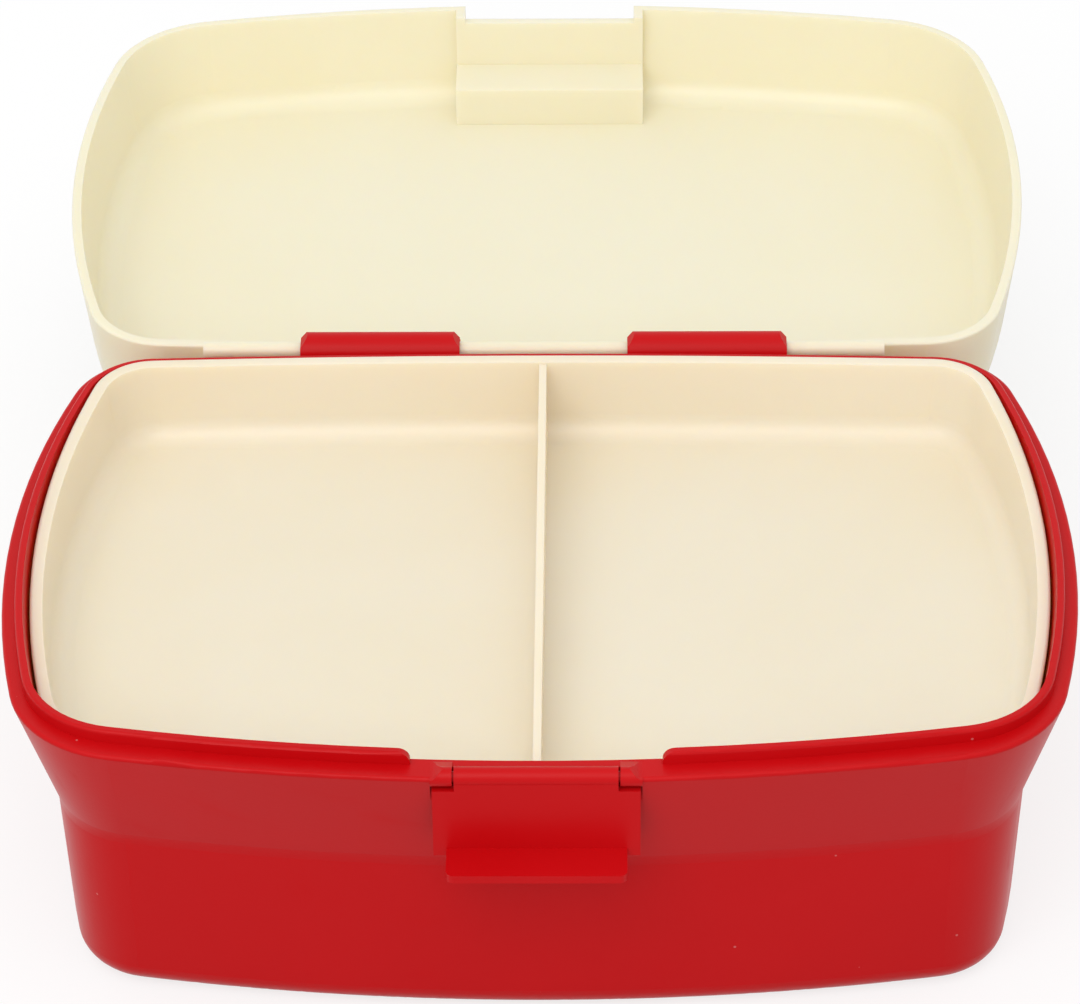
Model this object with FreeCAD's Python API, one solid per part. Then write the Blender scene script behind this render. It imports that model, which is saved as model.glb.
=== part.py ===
import FreeCAD, Part
import math
import os

from FreeCAD import Vector

# Plan outline of the rim: bowed sides and front, an almost straight back, rounded corners
BOX_WIDTH = 180.0
BOX_DEPTH = 120.0
SIDE_RADIUS = 166.0
FRONT_RADIUS = 395.0
BACK_RADIUS = 1900.0
FRONT_CORNER = 21.5
BACK_CORNER = 15.5

# Base: drafted lower body, crease, flared band, ledge and collar
RIM_HEIGHT = 56.5
BAND_HEIGHT = 22.5
CREASE_INSET = 6.8
BOTTOM_INSET = 8.2
BOTTOM_FILLET = 5.0
CREASE_FILLET = 9.0
BASE_WALL = 1.9
BASE_FLOOR = 2.0
COLLAR_HEIGHT = 2.3
COLLAR_WALL = 1.3
COLLAR_ROUND = 0.5
RIM_ROUND = 0.6
LEDGE_SIDE = 2.5
LEDGE_END = 3.6
TRAY_SHELF_WIDTH = 2.1

# Tray: its rim runs from below the collar's top at the front to above it at the back
TRAY_SEAT_DROP = 15.9
TRAY_WALL = 1.5
TRAY_FLOOR = 1.5
TRAY_RIM_WIDTH = 2.4
TRAY_FRONT_DROP = 5.5
TRAY_BACK_RISE = 1.1
TRAY_FILLET = 4.0
TRAY_RIM_ROUND = 0.5
TRAY_GAP = 0.35
DIVIDER_THICKNESS = 1.3
DIVIDER_DROP = 0.4

# Lid
LID_HEIGHT = 21.0
LID_WALL = 1.8
LID_DRAFT_INSET = 2.4
LID_FILLET = 6.5
LID_EDGE_ROUND = 0.4
LID_SEAT_GAP = 0.25
LID_POCKET_SIDE_GAP = 0.4
LID_OPEN_ANGLE = 179.0

# Lid hinge: a bar on the lid turns in two hooks on the base
HINGE_SETBACK = 2.2
HINGE_DROP = 1.0
HINGE_BAR_RADIUS = 1.5
HINGE_BAR_LENGTH = 122.0
HINGE_FIT = 0.25
HOOK_WALL = 1.6
HOOK_WIDTH = 28.5
HOOK_SPACING = 58.5
HOOK_MOUTH_ANGLE = 70.0
HOOK_BEVEL = 1.2
HOOK_ROOT = 6.0
RAIL_RISE = 4.0

# Clip: an L-shaped flap that hangs from two lugs at the front of the rim
CLIP_WIDTH = 33.0
CLIP_REACH = 14.0
CLIP_WALL = 1.5
CLIP_FACE_OFFSET = 1.5
CLIP_LIP_WIDTH = 28.8
CLIP_LIP_DEPTH = 6.8
CLIP_LIP_ROOM = 3.3
CLIP_LIP_CORNER = 1.3
CLIP_AXIS_INSET = 1.7
CLIP_AXIS_DROP = 0.4
CLIP_BARREL_RADIUS = 1.6
CLIP_BARREL_LENGTH = 26.0
CLIP_PIN_RADIUS = 0.85
CLIP_GAP = 0.3
LUG_WIDTH = 1.2
LUG_RAMP = 2.3
COLLAR_GAP_WIDTH = 40.0
COLLAR_GAP_ROUND = 2.0

# Values that follow from the sizes above
HALF_WIDTH = BOX_WIDTH / 2
HALF_DEPTH = BOX_DEPTH / 2
CREASE_Z = RIM_HEIGHT - BAND_HEIGHT
COLLAR_TOP = RIM_HEIGHT + COLLAR_HEIGHT
INNER_SIDE = LEDGE_SIDE + COLLAR_WALL
INNER_END = LEDGE_END + COLLAR_WALL
TRAY_SEAT_Z = COLLAR_TOP - TRAY_SEAT_DROP
BAND_INSET_AT_SEAT = CREASE_INSET * (RIM_HEIGHT - TRAY_SEAT_Z) / BAND_HEIGHT
SEAT_INSET = BAND_INSET_AT_SEAT + BASE_WALL
LID_SEAT_Z = RIM_HEIGHT + LID_SEAT_GAP
LID_TOP_Z = RIM_HEIGHT + LID_HEIGHT
HINGE_Y = HALF_DEPTH + HINGE_SETBACK
HINGE_Z = RIM_HEIGHT - HINGE_DROP
HOOK_BORE = HINGE_BAR_RADIUS + HINGE_FIT
HOOK_RADIUS = HOOK_BORE + HOOK_WALL
CLIP_Y = CLIP_AXIS_INSET - HALF_DEPTH
CLIP_Z = RIM_HEIGHT - CLIP_AXIS_DROP
LUG_INNER = CLIP_BARREL_LENGTH / 2 + CLIP_GAP
LUG_OUTER = LUG_INNER + LUG_WIDTH
LUG_TOP = CLIP_Z + CLIP_BARREL_RADIUS
CLIP_BACK_Y = CLIP_Y - CLIP_FACE_OFFSET + CLIP_WALL
CLIP_LIP_Z = RIM_HEIGHT - CLIP_REACH
CLIP_POCKET_WIDTH = CLIP_WIDTH + 2 * CLIP_GAP
# Where the flap lies once it has swung up against the lid
RAISED_BACK_Y = CLIP_Y + CLIP_FACE_OFFSET
RAISED_LIP_Z = 2 * CLIP_Z - CLIP_LIP_Z
RAISED_LIP_Y = 2 * CLIP_Y - (CLIP_Y - CLIP_FACE_OFFSET - CLIP_LIP_DEPTH)
LID_POCKET_WIDTH = CLIP_WIDTH + 2 * LID_POCKET_SIDE_GAP
LID_POCKET_Y = RAISED_BACK_Y + CLIP_GAP
LID_SHOULDER_Z = RAISED_LIP_Z - CLIP_GAP
LID_NOTCH_Y = RAISED_LIP_Y + CLIP_LIP_ROOM
LID_POCKET_EDGE_Z = LUG_TOP + CLIP_GAP

# How far cutters run past what they cut, and how close two levels count as one
CLEAR = 40.0
OVERSHOOT = 1.0
SAME_LEVEL = 1e-4
X_AXIS = Vector(1, 0, 0)


def circle_centre(side_centre, side_reach, end_centre, end_reach, sign):
    """Centre of a corner arc that is tangent inside both the side arc and the end arc."""
    span = end_centre - side_centre
    along = (side_reach ** 2 - end_reach ** 2 + span.Length ** 2) / (2 * span.Length)
    across = math.sqrt(side_reach ** 2 - along ** 2)
    unit = Vector(span).normalize()
    return side_centre + unit * along + Vector(-unit.y, unit.x, 0) * across * sign


def outline(z, side_inset, end_inset):
    """Closed plan outline at height z, drawn in from the rim's outer edge by the two insets."""
    side_radius = SIDE_RADIUS - side_inset
    corner_inset = (side_inset + end_inset) / 2
    side_centre = Vector(HALF_WIDTH - SIDE_RADIUS, 0, 0)
    tangents = []
    corners = []
    ends = []
    for sign, end_full, corner_full in ((1, BACK_RADIUS, BACK_CORNER), (-1, FRONT_RADIUS, FRONT_CORNER)):
        end_radius = end_full - end_inset
        corner = corner_full - corner_inset
        end_centre = Vector(0, sign * (HALF_DEPTH - end_full), 0)
        centre = circle_centre(side_centre, side_radius - corner, end_centre, end_radius - corner, sign)
        on_side = side_centre + Vector(centre - side_centre).normalize() * side_radius
        on_end = end_centre + Vector(centre - end_centre).normalize() * end_radius
        tangents.append((on_side, on_end))
        middle = (on_side - centre) + (on_end - centre)
        corners.append(centre + middle.normalize() * corner)
        ends.append(end_centre + Vector(0, sign * end_radius, 0))

    def mirrored(p):
        return Vector(-p.x, p.y, 0)

    (back_side, back_end), (front_side, front_end) = tangents
    side = Vector(HALF_WIDTH - side_inset, 0, 0)
    arcs = [
        (front_side, side, back_side),
        (back_side, corners[0], back_end),
        (back_end, ends[0], mirrored(back_end)),
        (mirrored(back_end), mirrored(corners[0]), mirrored(back_side)),
        (mirrored(back_side), mirrored(side), mirrored(front_side)),
        (mirrored(front_side), mirrored(corners[1]), mirrored(front_end)),
        (mirrored(front_end), ends[1], front_end),
        (front_end, corners[1], front_side),
    ]
    lift = Vector(0, 0, z)
    return Part.Wire([Part.Arc(a + lift, b + lift, c + lift).toShape() for a, b, c in arcs])


def tapered(*sections):
    """Solid through outlines given as (z, side inset, end inset)."""
    return Part.makeLoft([outline(*section) for section in sections], True, True)


def edges_at(shape, z):
    return [e for e in shape.Edges if max(abs(e.BoundBox.ZMin - z), abs(e.BoundBox.ZMax - z)) < SAME_LEVEL]


def rounded(shape, z, radius):
    return shape.makeFillet(radius, edges_at(shape, z))


def block(width, y0, y1, z0, z1):
    """Box centred on X."""
    return Part.makeBox(width, y1 - y0, z1 - z0, Vector(-width / 2, y0, z0))


def rod(x0, x1, y, z, radius):
    """Cylinder along X."""
    return Part.makeCylinder(radius, x1 - x0, Vector(x0, y, z), X_AXIS)


def prism(points, x0, x1):
    """Straight-sided profile in the YZ plane, extruded along X."""
    corners = [Vector(x0, y, z) for y, z in points]
    face = Part.Face(Part.makePolygon(corners + corners[:1]))
    return face.extrude(Vector(x1 - x0, 0, 0))


def collar_gap():
    """Cutter for the opening at the front of the collar, with rounded shoulders."""
    half = COLLAR_GAP_WIDTH / 2
    low = RIM_HEIGHT
    high = COLLAR_TOP
    r = COLLAR_GAP_ROUND
    top = high + OVERSHOOT
    turn = r * (1 - math.sqrt(0.5))

    def at(x, z):
        return Vector(x, -HALF_DEPTH, z)

    edges = [Part.makeLine(at(-half, low), at(half, low)), Part.makeLine(at(half, low), at(half, high - r))]
    edges.append(Part.Arc(at(half, high - r), at(half + turn, high - turn), at(half + r, high)).toShape())
    edges.append(Part.makeLine(at(half + r, high), at(half + r, top)))
    edges.append(Part.makeLine(at(half + r, top), at(-half - r, top)))
    edges.append(Part.makeLine(at(-half - r, top), at(-half - r, high)))
    edges.append(Part.Arc(at(-half - r, high), at(-half - turn, high - turn), at(-half, high - r)).toShape())
    edges.append(Part.makeLine(at(-half, high - r), at(-half, low)))
    return Part.Face(Part.Wire(edges)).extrude(Vector(0, HALF_DEPTH / 2, 0))


def lug_profile(side):
    """Front view of a lug: flat on top, then an S-curve down to the ledge at its outer end."""
    low = CLIP_Z - CLIP_BARREL_RADIUS
    end = LUG_OUTER + LUG_RAMP
    middle = LUG_OUTER + LUG_RAMP / 2

    def at(x, z):
        return Vector(side * x, -HALF_DEPTH - CLEAR, z)

    curve = Part.BezierCurve()
    curve.setPoles([at(LUG_OUTER, LUG_TOP), at(middle, LUG_TOP), at(middle, RIM_HEIGHT), at(end, RIM_HEIGHT)])
    rest = [at(end, RIM_HEIGHT), at(end, low), at(LUG_INNER, low), at(LUG_INNER, LUG_TOP), curve.StartPoint]
    edges = [curve.toShape()] + [Part.makeLine(p, q) for p, q in zip(rest, rest[1:])]
    return Part.Face(Part.Wire(edges)).extrude(Vector(0, BOX_DEPTH, 0))


def clip_lugs():
    """Two lugs that carry the flap's pins, reaching forward from the wall behind it."""
    back = INNER_END - HALF_DEPTH
    low = CLIP_Z - CLIP_BARREL_RADIUS
    reach = LUG_OUTER + LUG_RAMP
    knuckle = rod(-reach, reach, CLIP_Y, CLIP_Z, CLIP_BARREL_RADIUS)
    arm = prism([(CLIP_Y, low), (back, low), (back, RIM_HEIGHT), (CLIP_Y, LUG_TOP)], -reach, reach)
    bar = knuckle.fuse(arm)
    return [bar.common(lug_profile(side)) for side in (-1, 1)]


def hinge_hook(x0, x1):
    """C-shaped hook round the lid's bar, open to the back and up, on a root in the back wall."""
    ring = rod(x0, x1, HINGE_Y, HINGE_Z, HOOK_RADIUS)
    root = prism([
        (HALF_DEPTH - HOOK_ROOT, RIM_HEIGHT),
        (HINGE_Y, HINGE_Z),
        (HINGE_Y, HINGE_Z - HOOK_RADIUS),
        (HALF_DEPTH - HOOK_ROOT, HINGE_Z - HOOK_RADIUS - HOOK_ROOT),
    ], x0, x1)
    hook = ring.fuse(root)
    mouth = math.radians(HOOK_MOUTH_ANGLE)
    reach = 2 * HOOK_RADIUS
    wedge = [
        (HINGE_Y, HINGE_Z),
        (HINGE_Y + reach, HINGE_Z),
        (HINGE_Y + reach, HINGE_Z + reach),
        (HINGE_Y + reach * math.cos(mouth), HINGE_Z + reach * math.sin(mouth)),
    ]
    hook = hook.cut(prism(wedge, x0 - OVERSHOOT, x1 + OVERSHOOT))
    hook = hook.cut(rod(x0 - OVERSHOOT, x1 + OVERSHOOT, HINGE_Y, HINGE_Z, HOOK_BORE))
    top = HINGE_Z + HOOK_RADIUS
    for x, way in ((x0, 1), (x1, -1)):
        bevel = Part.makePolygon([
            Vector(x, HALF_DEPTH - CLEAR, top),
            Vector(x + way * HOOK_BEVEL, HALF_DEPTH - CLEAR, top),
            Vector(x, HALF_DEPTH - CLEAR, top - HOOK_BEVEL),
            Vector(x, HALF_DEPTH - CLEAR, top),
        ])
        hook = hook.cut(Part.Face(bevel).extrude(Vector(0, 2 * CLEAR, 0)))
    return hook


def hook_spans(extra=0.0):
    for side in (-1, 1):
        centre = side * HOOK_SPACING / 2
        yield centre - HOOK_WIDTH / 2 - extra, centre + HOOK_WIDTH / 2 + extra


def make_base():
    bottom = (0, BOTTOM_INSET, BOTTOM_INSET)
    crease = (CREASE_Z, CREASE_INSET, CREASE_INSET)
    body = tapered(bottom, crease, (RIM_HEIGHT, 0, 0))
    body = rounded(body, CREASE_Z, CREASE_FILLET)
    body = rounded(body, 0, BOTTOM_FILLET)
    body = rounded(body, RIM_HEIGHT, RIM_ROUND)
    collar = tapered((RIM_HEIGHT - COLLAR_HEIGHT, LEDGE_SIDE, LEDGE_END), (COLLAR_TOP, LEDGE_SIDE, LEDGE_END))
    body = body.fuse(rounded(collar, COLLAR_TOP, COLLAR_ROUND))
    shelf_inner = SEAT_INSET + TRAY_SHELF_WIDTH
    floor_inset = BOTTOM_INSET + BASE_WALL
    lower = tapered((BASE_FLOOR, floor_inset, floor_inset), (TRAY_SEAT_Z, shelf_inner, shelf_inner))
    lower = rounded(lower, BASE_FLOOR, BOTTOM_FILLET - BASE_WALL)
    upper = tapered((TRAY_SEAT_Z, SEAT_INSET, SEAT_INSET), (COLLAR_TOP, INNER_SIDE, INNER_END))
    body = body.cut(lower.fuse(upper))
    body = body.cut(collar_gap())
    pocket_floor = CLIP_LIP_Z - CLIP_WALL - CLIP_GAP
    pocket_back = CLIP_BACK_Y + CLIP_GAP
    body = body.cut(block(CLIP_POCKET_WIDTH, pocket_back - CLEAR, pocket_back, pocket_floor, COLLAR_TOP))
    barrel_room = CLIP_BARREL_RADIUS + CLIP_GAP
    body = body.cut(rod(-LUG_INNER, LUG_INNER, CLIP_Y, CLIP_Z, barrel_room))
    for lug in clip_lugs():
        body = body.fuse(lug)
    pin_bore = CLIP_PIN_RADIUS + CLIP_GAP / 2
    body = body.cut(rod(-LUG_OUTER, LUG_OUTER, CLIP_Y, CLIP_Z, pin_bore))
    for x0, x1 in hook_spans():
        body = body.fuse(hinge_hook(x0, x1))
    body = body.cut(upper)
    return body.removeSplitter()


def above_rim(drop):
    """Cutter over the tray's sloping rim, lowered by drop."""
    front = COLLAR_TOP - TRAY_FRONT_DROP - drop
    back = COLLAR_TOP + TRAY_BACK_RISE - drop
    high = back + CLEAR
    points = [(-HALF_DEPTH, front), (HALF_DEPTH, back), (HALF_DEPTH, high), (-HALF_DEPTH, high)]
    return prism(points, -BOX_WIDTH, BOX_WIDTH)


def rounded_rim(shape):
    """Rounds the outer edge of the sloping rim."""
    top = max(shape.Faces, key=lambda face: face.CenterOfMass.z)
    return shape.makeFillet(TRAY_RIM_ROUND, top.Edges)


def make_tray():
    top = COLLAR_TOP + TRAY_BACK_RISE
    foot = SEAT_INSET + TRAY_GAP
    head_side = INNER_SIDE + TRAY_GAP
    head_end = INNER_END + TRAY_GAP
    outer = tapered((TRAY_SEAT_Z, foot, foot), (top, head_side, head_end))
    floor_z = TRAY_SEAT_Z + TRAY_FLOOR
    floor_inset = foot + TRAY_WALL
    rim_side = head_side + TRAY_RIM_WIDTH
    rim_end = head_end + TRAY_RIM_WIDTH
    inner = tapered((floor_z, floor_inset, floor_inset), (top, rim_side, rim_end))
    inner = rounded(inner, floor_z, TRAY_FILLET)
    divider = block(DIVIDER_THICKNESS, -HALF_DEPTH, HALF_DEPTH, 0, top).cut(above_rim(DIVIDER_DROP))
    outer = rounded_rim(outer.cut(above_rim(0)))
    return outer.cut(inner.cut(divider)).removeSplitter()


def lid_pocket(grow):
    """Front recess that takes the raised flap, and above its shoulder the notch for the lip."""
    width = LID_POCKET_WIDTH + 2 * grow
    front = -HALF_DEPTH - CLEAR
    pocket = block(width, front, LID_POCKET_Y + grow, LID_SEAT_Z - CLEAR, LID_SHOULDER_Z)
    notch = block(width, front, LID_NOTCH_Y + grow, LID_SHOULDER_Z - grow, LID_TOP_Z + CLEAR)
    return pocket.fuse(notch)


def hinge_rail():
    """Bar and its web along the back edge of the lid."""
    half = HINGE_BAR_LENGTH / 2
    bar = rod(-half, half, HINGE_Y, HINGE_Z, HINGE_BAR_RADIUS)
    inside = HALF_DEPTH - LID_WALL
    web = prism([
        (inside, LID_SEAT_Z),
        (inside, LID_SEAT_Z + RAIL_RISE),
        (HALF_DEPTH, LID_SEAT_Z + RAIL_RISE),
        (HINGE_Y + HINGE_BAR_RADIUS, HINGE_Z),
        (HINGE_Y, HINGE_Z),
        (HALF_DEPTH + HINGE_FIT, LID_SEAT_Z),
    ], -half, half)
    return bar.fuse(web)


def make_lid():
    draft = LID_DRAFT_INSET
    outer = tapered((LID_SEAT_Z, 0, 0), (LID_TOP_Z, draft, draft))
    outer = rounded(outer, LID_TOP_Z, LID_FILLET)
    outer = rounded(outer, LID_SEAT_Z, LID_EDGE_ROUND)
    roof_z = LID_TOP_Z - LID_WALL
    inner = tapered((LID_SEAT_Z, LID_WALL, LID_WALL), (roof_z, draft + LID_WALL, draft + LID_WALL))
    inner = rounded(inner, roof_z, LID_FILLET - LID_WALL)
    shell = outer.cut(lid_pocket(0)).cut(inner.cut(lid_pocket(LID_WALL)))
    low = LID_SEAT_Z - OVERSHOOT
    edge = block(LID_POCKET_WIDTH, -HALF_DEPTH - CLEAR, CLEAR - HALF_DEPTH, low, LID_POCKET_EDGE_Z)
    shell = shell.cut(edge)
    shell = shell.fuse(hinge_rail())
    for x0, x1 in hook_spans(extra=2 * HINGE_FIT):
        sweep = rod(x0, x1, HINGE_Y, HINGE_Z, HOOK_RADIUS + HINGE_FIT)
        keep = rod(x0, x1, HINGE_Y, HINGE_Z, HINGE_BAR_RADIUS)
        shell = shell.cut(sweep.cut(keep))
    shell = shell.removeSplitter()
    shell.rotate(Vector(0, HINGE_Y, HINGE_Z), X_AXIS, -LID_OPEN_ANGLE)
    return shell


def make_clip():
    half = CLIP_BARREL_LENGTH / 2
    clip = rod(-half, half, CLIP_Y, CLIP_Z, CLIP_BARREL_RADIUS)
    pin = LUG_OUTER - CLIP_GAP
    clip = clip.fuse(rod(-pin, pin, CLIP_Y, CLIP_Z, CLIP_PIN_RADIUS))
    face_y = CLIP_Y - CLIP_FACE_OFFSET
    low = CLIP_LIP_Z - CLIP_WALL
    panel_top = CLIP_Z - CLIP_BARREL_RADIUS - CLIP_GAP
    neck = block(CLIP_BARREL_LENGTH, face_y, CLIP_BACK_Y, panel_top, CLIP_Z)
    panel = block(CLIP_WIDTH, face_y, CLIP_BACK_Y, low, panel_top)
    lip = block(CLIP_LIP_WIDTH, face_y - CLIP_LIP_DEPTH, CLIP_BACK_Y, low, CLIP_LIP_Z)
    tip_y = face_y - CLIP_LIP_DEPTH
    at_tip = [e for e in lip.Edges if e.BoundBox.YMax - tip_y < SAME_LEVEL]
    tips = [e for e in at_tip if e.BoundBox.ZLength > CLIP_WALL / 2]
    lip = lip.makeFillet(CLIP_LIP_CORNER, tips)
    return clip.fuse(neck).fuse(panel).fuse(lip).removeSplitter()


PIECES = {
    "base_shell": make_base,
    "inner_tray": make_tray,
    "lid_shell": make_lid,
    "front_clip": make_clip,
}

os.makedirs("parts", exist_ok=True)
for name, make in PIECES.items():
    shape = make()
    solid = shape.Solids[0]
    print(name, len(shape.Solids), solid.isValid(), round(shape.Volume / 1000, 2), shape.BoundBox)
    solid.exportStep(f"parts/{name}.step")
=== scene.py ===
import math

import bpy
from bpy.props import FloatProperty, FloatVectorProperty, PointerProperty
from mathutils import Matrix, Vector


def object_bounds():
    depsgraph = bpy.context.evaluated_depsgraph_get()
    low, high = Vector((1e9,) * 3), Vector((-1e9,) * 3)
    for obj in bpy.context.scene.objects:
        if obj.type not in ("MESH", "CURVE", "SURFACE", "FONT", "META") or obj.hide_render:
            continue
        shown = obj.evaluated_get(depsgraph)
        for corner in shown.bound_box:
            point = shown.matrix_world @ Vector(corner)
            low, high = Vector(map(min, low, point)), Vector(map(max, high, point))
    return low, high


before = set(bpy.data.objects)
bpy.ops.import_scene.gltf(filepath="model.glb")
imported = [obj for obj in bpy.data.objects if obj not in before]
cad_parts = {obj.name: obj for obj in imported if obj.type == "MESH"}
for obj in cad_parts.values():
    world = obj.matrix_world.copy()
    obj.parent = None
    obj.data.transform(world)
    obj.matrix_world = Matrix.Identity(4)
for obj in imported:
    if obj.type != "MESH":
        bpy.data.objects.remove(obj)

bl_info = {
    "name": "Lunch Box",
    "version": (1, 0, 0),
    "blender": (4, 5, 0),
    "location": "View3D > Sidebar > Lunch Box",
    "description": "Dresses a moulded lunch box and sets up its studio stage",
    "category": "Object",
}

CAD_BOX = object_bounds()

IMAGE_WIDTH_PX = 1080
SENSOR_WIDTH_MM = 36.0
NEAREST_SEEN = 0.01

WHITE = (1, 1, 1, 1)
PAPER_ROUGHNESS = 0.9
FLOW_RANGE = (0.25, 0.75)
GRAIN_DEPTH = 0.0001
SCATTER_BY_COLOUR = (1.0, 0.8, 0.5)
SPECK_SHARE = 0.22
SCUFF_STRETCH = (30.0, 400.0, 90.0)
SCUFF_RANGE = (0.60, 0.75)
SCUFF_DULLING = 0.08


class LUNCHBOX_PG_finish(bpy.types.PropertyGroup):
    """Colours and gloss of the moulded plastics."""

    red: FloatVectorProperty(
        name="Red", description="Colour of the base and the clip",
        subtype="COLOR", size=3, min=0, max=1, default=(0.525, 0.0023, 0.0042))
    red_flow: FloatVectorProperty(
        name="Red flow", description="Where the red pigment lies thinner in the moulding",
        subtype="COLOR", size=3, min=0, max=1, default=(0.55, 0.0037, 0.006))
    cream: FloatVectorProperty(
        name="Cream", description="Colour of the tray",
        subtype="COLOR", size=3, min=0, max=1, default=(0.855, 0.742, 0.56))
    cream_flow: FloatVectorProperty(
        name="Cream flow", description="Where the tray's plastic is paler",
        subtype="COLOR", size=3, min=0, max=1, default=(0.87, 0.772, 0.615))
    lid: FloatVectorProperty(
        name="Lid", description="Colour of the lid",
        subtype="COLOR", size=3, min=0, max=1, default=(0.855, 0.785, 0.575))
    lid_flow: FloatVectorProperty(
        name="Lid flow", description="Where the lid's plastic is paler",
        subtype="COLOR", size=3, min=0, max=1, default=(0.87, 0.81, 0.625))
    dust: FloatVectorProperty(
        name="Dust", description="Colour of the fine specks on the red plastic",
        subtype="COLOR", size=3, min=0, max=1, default=(0.70, 0.30, 0.29))
    milkiness: FloatProperty(
        name="Milkiness", description="How much light the pale plastics take in and scatter",
        subtype="FACTOR", min=0, max=1, default=0.5)
    scatter_depth: FloatProperty(
        name="Scatter depth", description="How far light travels inside the pale plastics",
        unit="LENGTH", min=0, default=0.004)


class LUNCHBOX_PG_camera(bpy.types.PropertyGroup):
    """Where the picture is taken from."""

    elevation: FloatProperty(
        name="Elevation", description="Height of the view above the table's plane",
        subtype="ANGLE", default=math.radians(36.155))
    turn: FloatProperty(
        name="Turn", description="How far the camera stands round to one side",
        subtype="ANGLE", default=math.radians(1.011))
    roll: FloatProperty(
        name="Roll", description="Tilt of the camera about its own line of sight",
        subtype="ANGLE", default=math.radians(-0.70))
    distance: FloatProperty(
        name="Distance", description="From the camera to the point that it looks at",
        unit="LENGTH", default=0.8232)
    focal_px: FloatProperty(
        name="Focal length", description="Focal length in pixels of a picture 1080 wide",
        default=4508.5)
    target: FloatVectorProperty(
        name="Target", description="Point that the camera looks at",
        subtype="TRANSLATION", unit="LENGTH", size=3, default=(-0.0009, 0.0576, 0.025))


class LUNCHBOX_PG_stage(bpy.types.PropertyGroup):
    """Floor and lights of the studio."""

    floor_size: FloatProperty(
        name="Floor size", description="Side of the square floor",
        unit="LENGTH", default=6.0)
    floor: FloatVectorProperty(
        name="Floor", description="Colour of the floor as it throws light back on the box",
        subtype="COLOR", size=3, min=0, max=1, default=(0.60, 0.60, 0.60))
    floor_in_sight: FloatVectorProperty(
        name="Floor in sight", description="Colour of the floor as it is seen",
        subtype="COLOR", size=3, min=0, max=1, default=(0.98, 0.98, 0.98))
    whiteness: FloatProperty(
        name="Whiteness", description="How far the floor in sight is lifted to plain white",
        subtype="FACTOR", min=0, max=1, default=0.75)
    dome: FloatProperty(
        name="Dome", description="Strength of the even light from all round",
        min=0, default=0.82)
    key_power: FloatProperty(
        name="Key power", description="Power of the soft lamp overhead",
        unit="POWER", min=0, default=0.9)
    lamp_size: FloatProperty(
        name="Lamp size", description="Side of each soft lamp",
        unit="LENGTH", min=0, default=0.9)
    key_place: FloatVectorProperty(
        name="Key place", description="Where the soft lamp overhead hangs",
        subtype="TRANSLATION", unit="LENGTH", size=3, default=(0.25, -0.25, 1.15))
    fill_power: FloatProperty(
        name="Fill power", description="Power of the soft front lamp",
        unit="POWER", min=0, default=5.9)
    fill_place: FloatVectorProperty(
        name="Fill place", description="Where the soft front lamp stands",
        subtype="TRANSLATION", unit="LENGTH", size=3, default=(-0.30, -0.80, 0.95))


def feed(tree, socket, value):
    """Links a socket to another node's output, or sets its value."""
    if isinstance(value, bpy.types.NodeSocket):
        tree.links.new(value, socket)
    else:
        socket.default_value = value


def add_node(tree, kind, inputs=None, **settings):
    """New node with its own settings, and input values or links by name or number."""
    node = tree.nodes.new(kind)
    for key, value in settings.items():
        setattr(node, key, value)
    for key, value in (inputs or {}).items():
        feed(tree, node.inputs[key], value)
    return node


def reckon(tree, operation, a, b):
    """Result of a sum or a comparison of two values."""
    return add_node(tree, "ShaderNodeMath", {0: a, 1: b}, operation=operation).outputs[0]


def mixed(tree, factor, a, b):
    """Colour between a and b."""
    node = add_node(tree, "ShaderNodeMix", data_type="RGBA")
    sockets = [s for s in node.inputs if s.enabled]
    for socket, value in zip(sockets, (factor, a, b)):
        feed(tree, socket, value)
    return next(s for s in node.outputs if s.enabled)


def spread(tree, value, low, high, to_low, to_high):
    """Value eased from one range to another and held inside it."""
    ranges = {"From Min": low, "From Max": high, "To Min": to_low, "To Max": to_high}
    node = add_node(tree, "ShaderNodeMapRange", {"Value": value, **ranges},
                    interpolation_type="SMOOTHSTEP")
    return node.outputs["Result"]


def new_group(name, inputs, outputs):
    """Empty shader node group with its sockets, its input node and its output node."""
    group = bpy.data.node_groups.new(name, "ShaderNodeTree")
    for label, kind, value in inputs:
        socket = group.interface.new_socket(label, in_out="INPUT", socket_type=kind)
        socket.default_value = value
    for label, kind in outputs:
        group.interface.new_socket(label, in_out="OUTPUT", socket_type=kind)
    start = group.nodes.new("NodeGroupInput")
    end = group.nodes.new("NodeGroupOutput")
    return group, start, end


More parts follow.
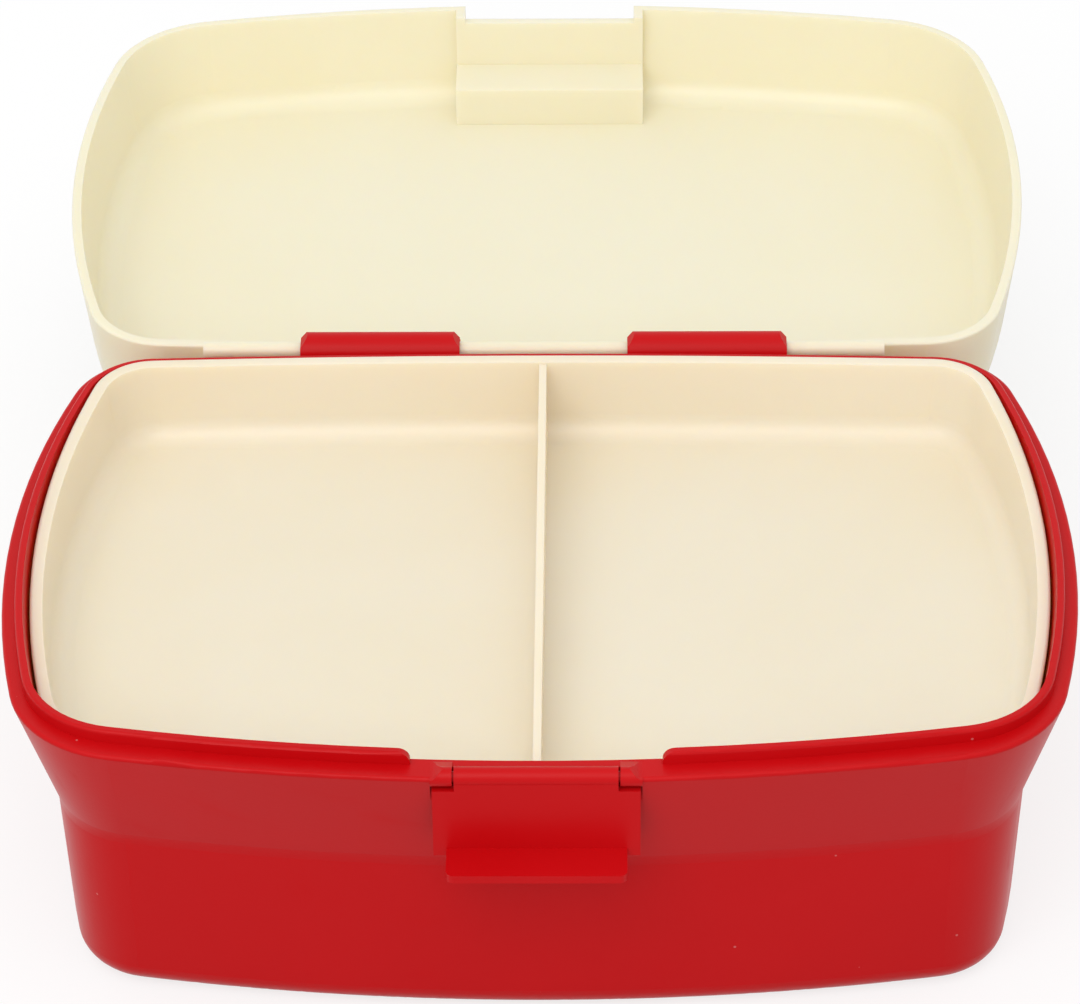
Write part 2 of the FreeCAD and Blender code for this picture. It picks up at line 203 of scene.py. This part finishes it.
def moulded_skin_group():
    """Slow flow clouds in the colour, uneven gloss and the fine grain of a moulding tool."""
    name = "Moulded skin"
    if name in bpy.data.node_groups:
        return bpy.data.node_groups[name]
    group, start, end = new_group(
        name,
        [
            ("Colour", "NodeSocketColor", (0.5, 0.5, 0.5, 1)),
            ("Flow Colour", "NodeSocketColor", (0.6, 0.6, 0.6, 1)),
            ("Flow Scale", "NodeSocketFloat", 14.0),
            ("Grain Scale", "NodeSocketFloat", 1500.0),
            ("Glossiest", "NodeSocketFloat", 0.25),
            ("Dullest", "NodeSocketFloat", 0.4),
        ],
        [
            ("Colour", "NodeSocketColor"),
            ("Roughness", "NodeSocketFloat"),
            ("Height", "NodeSocketFloat"),
        ],
    )
    place = add_node(group, "ShaderNodeTexCoord").outputs["Object"]
    flow = add_node(group, "ShaderNodeTexNoise", {
        "Vector": place, "Scale": start.outputs["Flow Scale"], "Detail": 3.0, "Distortion": 0.8})
    grain = add_node(group, "ShaderNodeTexNoise", {
        "Vector": place, "Scale": start.outputs["Grain Scale"], "Detail": 2.0})
    clouds = spread(group, flow.outputs["Fac"], *FLOW_RANGE, 0.0, 1.0)
    colour = mixed(group, clouds, start.outputs["Colour"], start.outputs["Flow Colour"])
    gloss = spread(group, flow.outputs["Fac"], *FLOW_RANGE,
                   start.outputs["Glossiest"], start.outputs["Dullest"])
    group.links.new(colour, end.inputs["Colour"])
    group.links.new(gloss, end.inputs["Roughness"])
    group.links.new(grain.outputs["Fac"], end.inputs["Height"])
    return group


def dust_group():
    """Sparse fine specks of dust and the faint scuffs of handling."""
    name = "Dust and scuffs"
    if name in bpy.data.node_groups:
        return bpy.data.node_groups[name]
    group, start, end = new_group(
        name,
        [
            ("Colour", "NodeSocketColor", (0.5, 0.5, 0.5, 1)),
            ("Dust Colour", "NodeSocketColor", (0.8, 0.8, 0.8, 1)),
            ("Speck Scale", "NodeSocketFloat", 180.0),
            ("Speck Size", "NodeSocketFloat", 0.06),
            ("Amount", "NodeSocketFloat", 0.5),
            ("Roughness", "NodeSocketFloat", 0.3),
        ],
        [("Colour", "NodeSocketColor"), ("Roughness", "NodeSocketFloat")],
    )
    place = add_node(group, "ShaderNodeTexCoord").outputs["Object"]
    cells = add_node(group, "ShaderNodeTexVoronoi", {
        "Vector": place, "Scale": start.outputs["Speck Scale"]})
    near = reckon(group, "LESS_THAN", cells.outputs["Distance"], start.outputs["Speck Size"])
    chance = add_node(group, "ShaderNodeSeparateColor", {"Color": cells.outputs["Color"]})
    rare = reckon(group, "LESS_THAN", chance.outputs["Red"], SPECK_SHARE)
    speck = reckon(group, "MULTIPLY", near, rare)
    shown = reckon(group, "MULTIPLY", speck, start.outputs["Amount"])
    colour = mixed(group, shown, start.outputs["Colour"], start.outputs["Dust Colour"])
    stretched = add_node(group, "ShaderNodeMapping", {"Vector": place, "Scale": SCUFF_STRETCH})
    scuff = add_node(group, "ShaderNodeTexNoise", {
        "Vector": stretched.outputs[0], "Scale": 1.0, "Detail": 4.0})
    worn = spread(group, scuff.outputs["Fac"], *SCUFF_RANGE, 0.0, SCUFF_DULLING)
    rough = reckon(group, "ADD", start.outputs["Roughness"], worn)
    group.links.new(colour, end.inputs["Colour"])
    group.links.new(rough, end.inputs["Roughness"])
    return group


def opaque(colour):
    return (*colour, 1.0)


def plastic(name, skin_values, bump, shader_values, dust_values=None):
    """Moulded plastic: shared skin, optional dust, grain as bump."""
    material = bpy.data.materials.new(name)
    material.use_nodes = True
    tree = material.node_tree
    tree.nodes.clear()
    skin = add_node(tree, "ShaderNodeGroup", skin_values, node_tree=moulded_skin_group())
    colour = skin.outputs["Colour"]
    rough = skin.outputs["Roughness"]
    if dust_values:
        inputs = {**dust_values, "Colour": colour, "Roughness": rough}
        dust = add_node(tree, "ShaderNodeGroup", inputs, node_tree=dust_group())
        colour = dust.outputs["Colour"]
        rough = dust.outputs["Roughness"]
    grain = add_node(tree, "ShaderNodeBump", {
        "Height": skin.outputs["Height"], "Strength": bump, "Distance": GRAIN_DEPTH})
    shader = add_node(tree, "ShaderNodeBsdfPrincipled", {
        "Base Color": colour, "Roughness": rough, "Normal": grain.outputs["Normal"],
        **shader_values})
    out = add_node(tree, "ShaderNodeOutputMaterial")
    tree.links.new(shader.outputs["BSDF"], out.inputs["Surface"])
    return material


def red_plastic(finish):
    if "Red plastic" in bpy.data.materials:
        return bpy.data.materials["Red plastic"]
    return plastic(
        "Red plastic",
        {"Colour": opaque(finish.red), "Flow Colour": opaque(finish.red_flow),
         "Flow Scale": 18.0, "Grain Scale": 1400.0, "Glossiest": 0.31, "Dullest": 0.39},
        bump=0.10,
        shader_values={"Specular IOR Level": 0.13},
        dust_values={"Dust Colour": opaque(finish.dust), "Speck Scale": 190.0,
                     "Speck Size": 0.045, "Amount": 0.4},
    )


def milky(finish):
    return {
        "Subsurface Weight": finish.milkiness,
        "Subsurface Radius": SCATTER_BY_COLOUR,
        "Subsurface Scale": finish.scatter_depth,
    }


def cream_plastic(finish):
    return plastic(
        "Cream plastic",
        {"Colour": opaque(finish.cream), "Flow Colour": opaque(finish.cream_flow),
         "Flow Scale": 12.0, "Grain Scale": 1100.0, "Glossiest": 0.31, "Dullest": 0.39},
        bump=0.08,
        shader_values=milky(finish),
    )


def lid_plastic(finish):
    return plastic(
        "Lid plastic",
        {"Colour": opaque(finish.lid), "Flow Colour": opaque(finish.lid_flow),
         "Flow Scale": 10.0, "Grain Scale": 1100.0, "Glossiest": 0.31, "Dullest": 0.38},
        bump=0.08,
        shader_values=milky(finish),
    )


def dress(node_name, material):
    """Puts a finish on a CAD node."""
    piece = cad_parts[node_name]
    for slot in piece.material_slots:
        slot.material = material


class LUNCHBOX_OT_dress_base(bpy.types.Operator):
    """Gives the base its red plastic"""

    bl_idname = "lunchbox.dress_base"
    bl_label = "Dress Base"

    def execute(self, context):
        dress("base_shell", red_plastic(context.scene.lunchbox_finish))
        return {"FINISHED"}


class LUNCHBOX_OT_dress_clip(bpy.types.Operator):
    """Gives the front clip its red plastic"""

    bl_idname = "lunchbox.dress_clip"
    bl_label = "Dress Clip"

    def execute(self, context):
        dress("front_clip", red_plastic(context.scene.lunchbox_finish))
        return {"FINISHED"}


class LUNCHBOX_OT_dress_tray(bpy.types.Operator):
    """Gives the lift-out tray its cream plastic"""

    bl_idname = "lunchbox.dress_tray"
    bl_label = "Dress Tray"

    def execute(self, context):
        dress("inner_tray", cream_plastic(context.scene.lunchbox_finish))
        return {"FINISHED"}


class LUNCHBOX_OT_dress_lid(bpy.types.Operator):
    """Gives the lid its milky plastic"""

    bl_idname = "lunchbox.dress_lid"
    bl_label = "Dress Lid"

    def execute(self, context):
        dress("lid_shell", lid_plastic(context.scene.lunchbox_finish))
        return {"FINISHED"}


def rays_in_sight(tree):
    """1 for rays from the camera, a reflection or a clear piece, and 0 for the rest."""
    path = add_node(tree, "ShaderNodeLightPath")
    seen = path.outputs["Is Camera Ray"]
    for ray in ("Is Glossy Ray", "Is Transmission Ray"):
        seen = reckon(tree, "MAXIMUM", seen, path.outputs[ray])
    return seen


def add_floor(stage):
    half = stage.floor_size / 2
    mesh = bpy.data.meshes.new("Floor")
    corners = [(-half, -half, 0), (half, -half, 0), (half, half, 0), (-half, half, 0)]
    mesh.from_pydata(corners, [], [(0, 1, 2, 3)])
    floor = bpy.data.objects.new("Floor", mesh)
    bpy.context.scene.collection.objects.link(floor)
    material = bpy.data.materials.new("Floor paper")
    material.use_nodes = True
    tree = material.node_tree
    tree.nodes.clear()
    seen = rays_in_sight(tree)
    colour = mixed(tree, seen, opaque(stage.floor), opaque(stage.floor_in_sight))
    paper = add_node(tree, "ShaderNodeBsdfPrincipled", {
        "Base Color": colour, "Roughness": PAPER_ROUGHNESS, "Specular IOR Level": 0.0})
    white = add_node(tree, "ShaderNodeEmission", {"Color": WHITE, "Strength": 1.0})
    lifted = spread(tree, seen, 0.0, 1.0, 0.0, stage.whiteness)
    both = add_node(tree, "ShaderNodeMixShader", {
        0: lifted, 1: paper.outputs[0], 2: white.outputs[0]})
    out = add_node(tree, "ShaderNodeOutputMaterial")
    tree.links.new(both.outputs[0], out.inputs["Surface"])
    mesh.materials.append(material)


def add_lamp(name, place, aim, power, size):
    lamp = bpy.data.lights.new(name, "AREA")
    lamp.energy = power
    lamp.size = size
    holder = bpy.data.objects.new(name, lamp)
    holder.location = place
    holder.rotation_euler = (Vector(aim) - Vector(place)).to_track_quat("-Z", "Y").to_euler()
    bpy.context.scene.collection.objects.link(holder)


def light_world(strength):
    """Even white light all round, and plain white where the floor's end is seen past."""
    world = bpy.data.worlds.new("Studio")
    bpy.context.scene.world = world
    world.use_nodes = True
    tree = world.node_tree
    tree.nodes.clear()
    level = spread(tree, rays_in_sight(tree), 0.0, 1.0, strength, 1.0)
    sky = add_node(tree, "ShaderNodeBackground", {"Color": WHITE, "Strength": level})
    out = add_node(tree, "ShaderNodeOutputWorld")
    tree.links.new(sky.outputs[0], out.inputs["Surface"])


def add_camera(settings):
    data = bpy.data.cameras.new("Photo camera")
    data.sensor_width = SENSOR_WIDTH_MM
    data.sensor_fit = "HORIZONTAL"
    data.lens = settings.focal_px / IMAGE_WIDTH_PX * SENSOR_WIDTH_MM
    data.clip_start = NEAREST_SEEN
    camera = bpy.data.objects.new("Photo camera", data)
    bpy.context.scene.collection.objects.link(camera)
    side = Matrix.Rotation(settings.turn, 3, "Z")
    sight = side @ Vector((0, math.cos(settings.elevation), -math.sin(settings.elevation)))
    up = side @ Vector((0, math.sin(settings.elevation), math.cos(settings.elevation)))
    right = sight.cross(up)
    turned = Matrix((right, up, -sight)).transposed() @ Matrix.Rotation(settings.roll, 3, "Z")
    place = Vector(settings.target) - sight * settings.distance
    camera.matrix_world = Matrix.Translation(place) @ turned.to_4x4()
    bpy.context.scene.camera = camera


class LUNCHBOX_OT_set_stage(bpy.types.Operator):
    """Adds the floor, the lights and the camera"""

    bl_idname = "lunchbox.set_stage"
    bl_label = "Set Stage"

    def execute(self, context):
        scene = context.scene
        scene.view_settings.view_transform = "Standard"
        stage = scene.lunchbox_stage
        low, high = CAD_BOX
        middle = (low + high) / 2
        add_floor(stage)
        light_world(stage.dome)
        add_lamp("Key lamp", stage.key_place, middle, stage.key_power, stage.lamp_size)
        add_lamp("Fill lamp", stage.fill_place, middle, stage.fill_power, stage.lamp_size)
        add_camera(scene.lunchbox_camera)
        return {"FINISHED"}


class LUNCHBOX_PT_sidebar(bpy.types.Panel):
    """Lists the steps and the values that they use"""

    bl_idname = "LUNCHBOX_PT_sidebar"
    bl_label = "Lunch Box"
    bl_space_type = "VIEW_3D"
    bl_region_type = "UI"
    bl_category = "Lunch Box"

    def draw(self, context):
        for operator in OPERATORS:
            self.layout.operator(operator.bl_idname)
        for name in SETTINGS:
            box = self.layout.box()
            group = getattr(context.scene, name)
            for key in group.__annotations__:
                box.prop(group, key)


SETTINGS = {
    "lunchbox_finish": LUNCHBOX_PG_finish,
    "lunchbox_camera": LUNCHBOX_PG_camera,
    "lunchbox_stage": LUNCHBOX_PG_stage,
}
OPERATORS = (
    LUNCHBOX_OT_dress_base,
    LUNCHBOX_OT_dress_clip,
    LUNCHBOX_OT_dress_tray,
    LUNCHBOX_OT_dress_lid,
    LUNCHBOX_OT_set_stage,
)
CLASSES = (*SETTINGS.values(), *OPERATORS, LUNCHBOX_PT_sidebar)


def register():
    for item in CLASSES:
        bpy.utils.register_class(item)
    for name, group in SETTINGS.items():
        setattr(bpy.types.Scene, name, PointerProperty(type=group))


def unregister():
    for name in SETTINGS:
        delattr(bpy.types.Scene, name)
    for item in reversed(CLASSES):
        bpy.utils.unregister_class(item)


def main():
    register()
    bpy.ops.lunchbox.dress_base()
    bpy.ops.lunchbox.dress_clip()
    bpy.ops.lunchbox.dress_tray()
    bpy.ops.lunchbox.dress_lid()
    bpy.ops.lunchbox.set_stage()


if __name__ == "__main__":
    main()
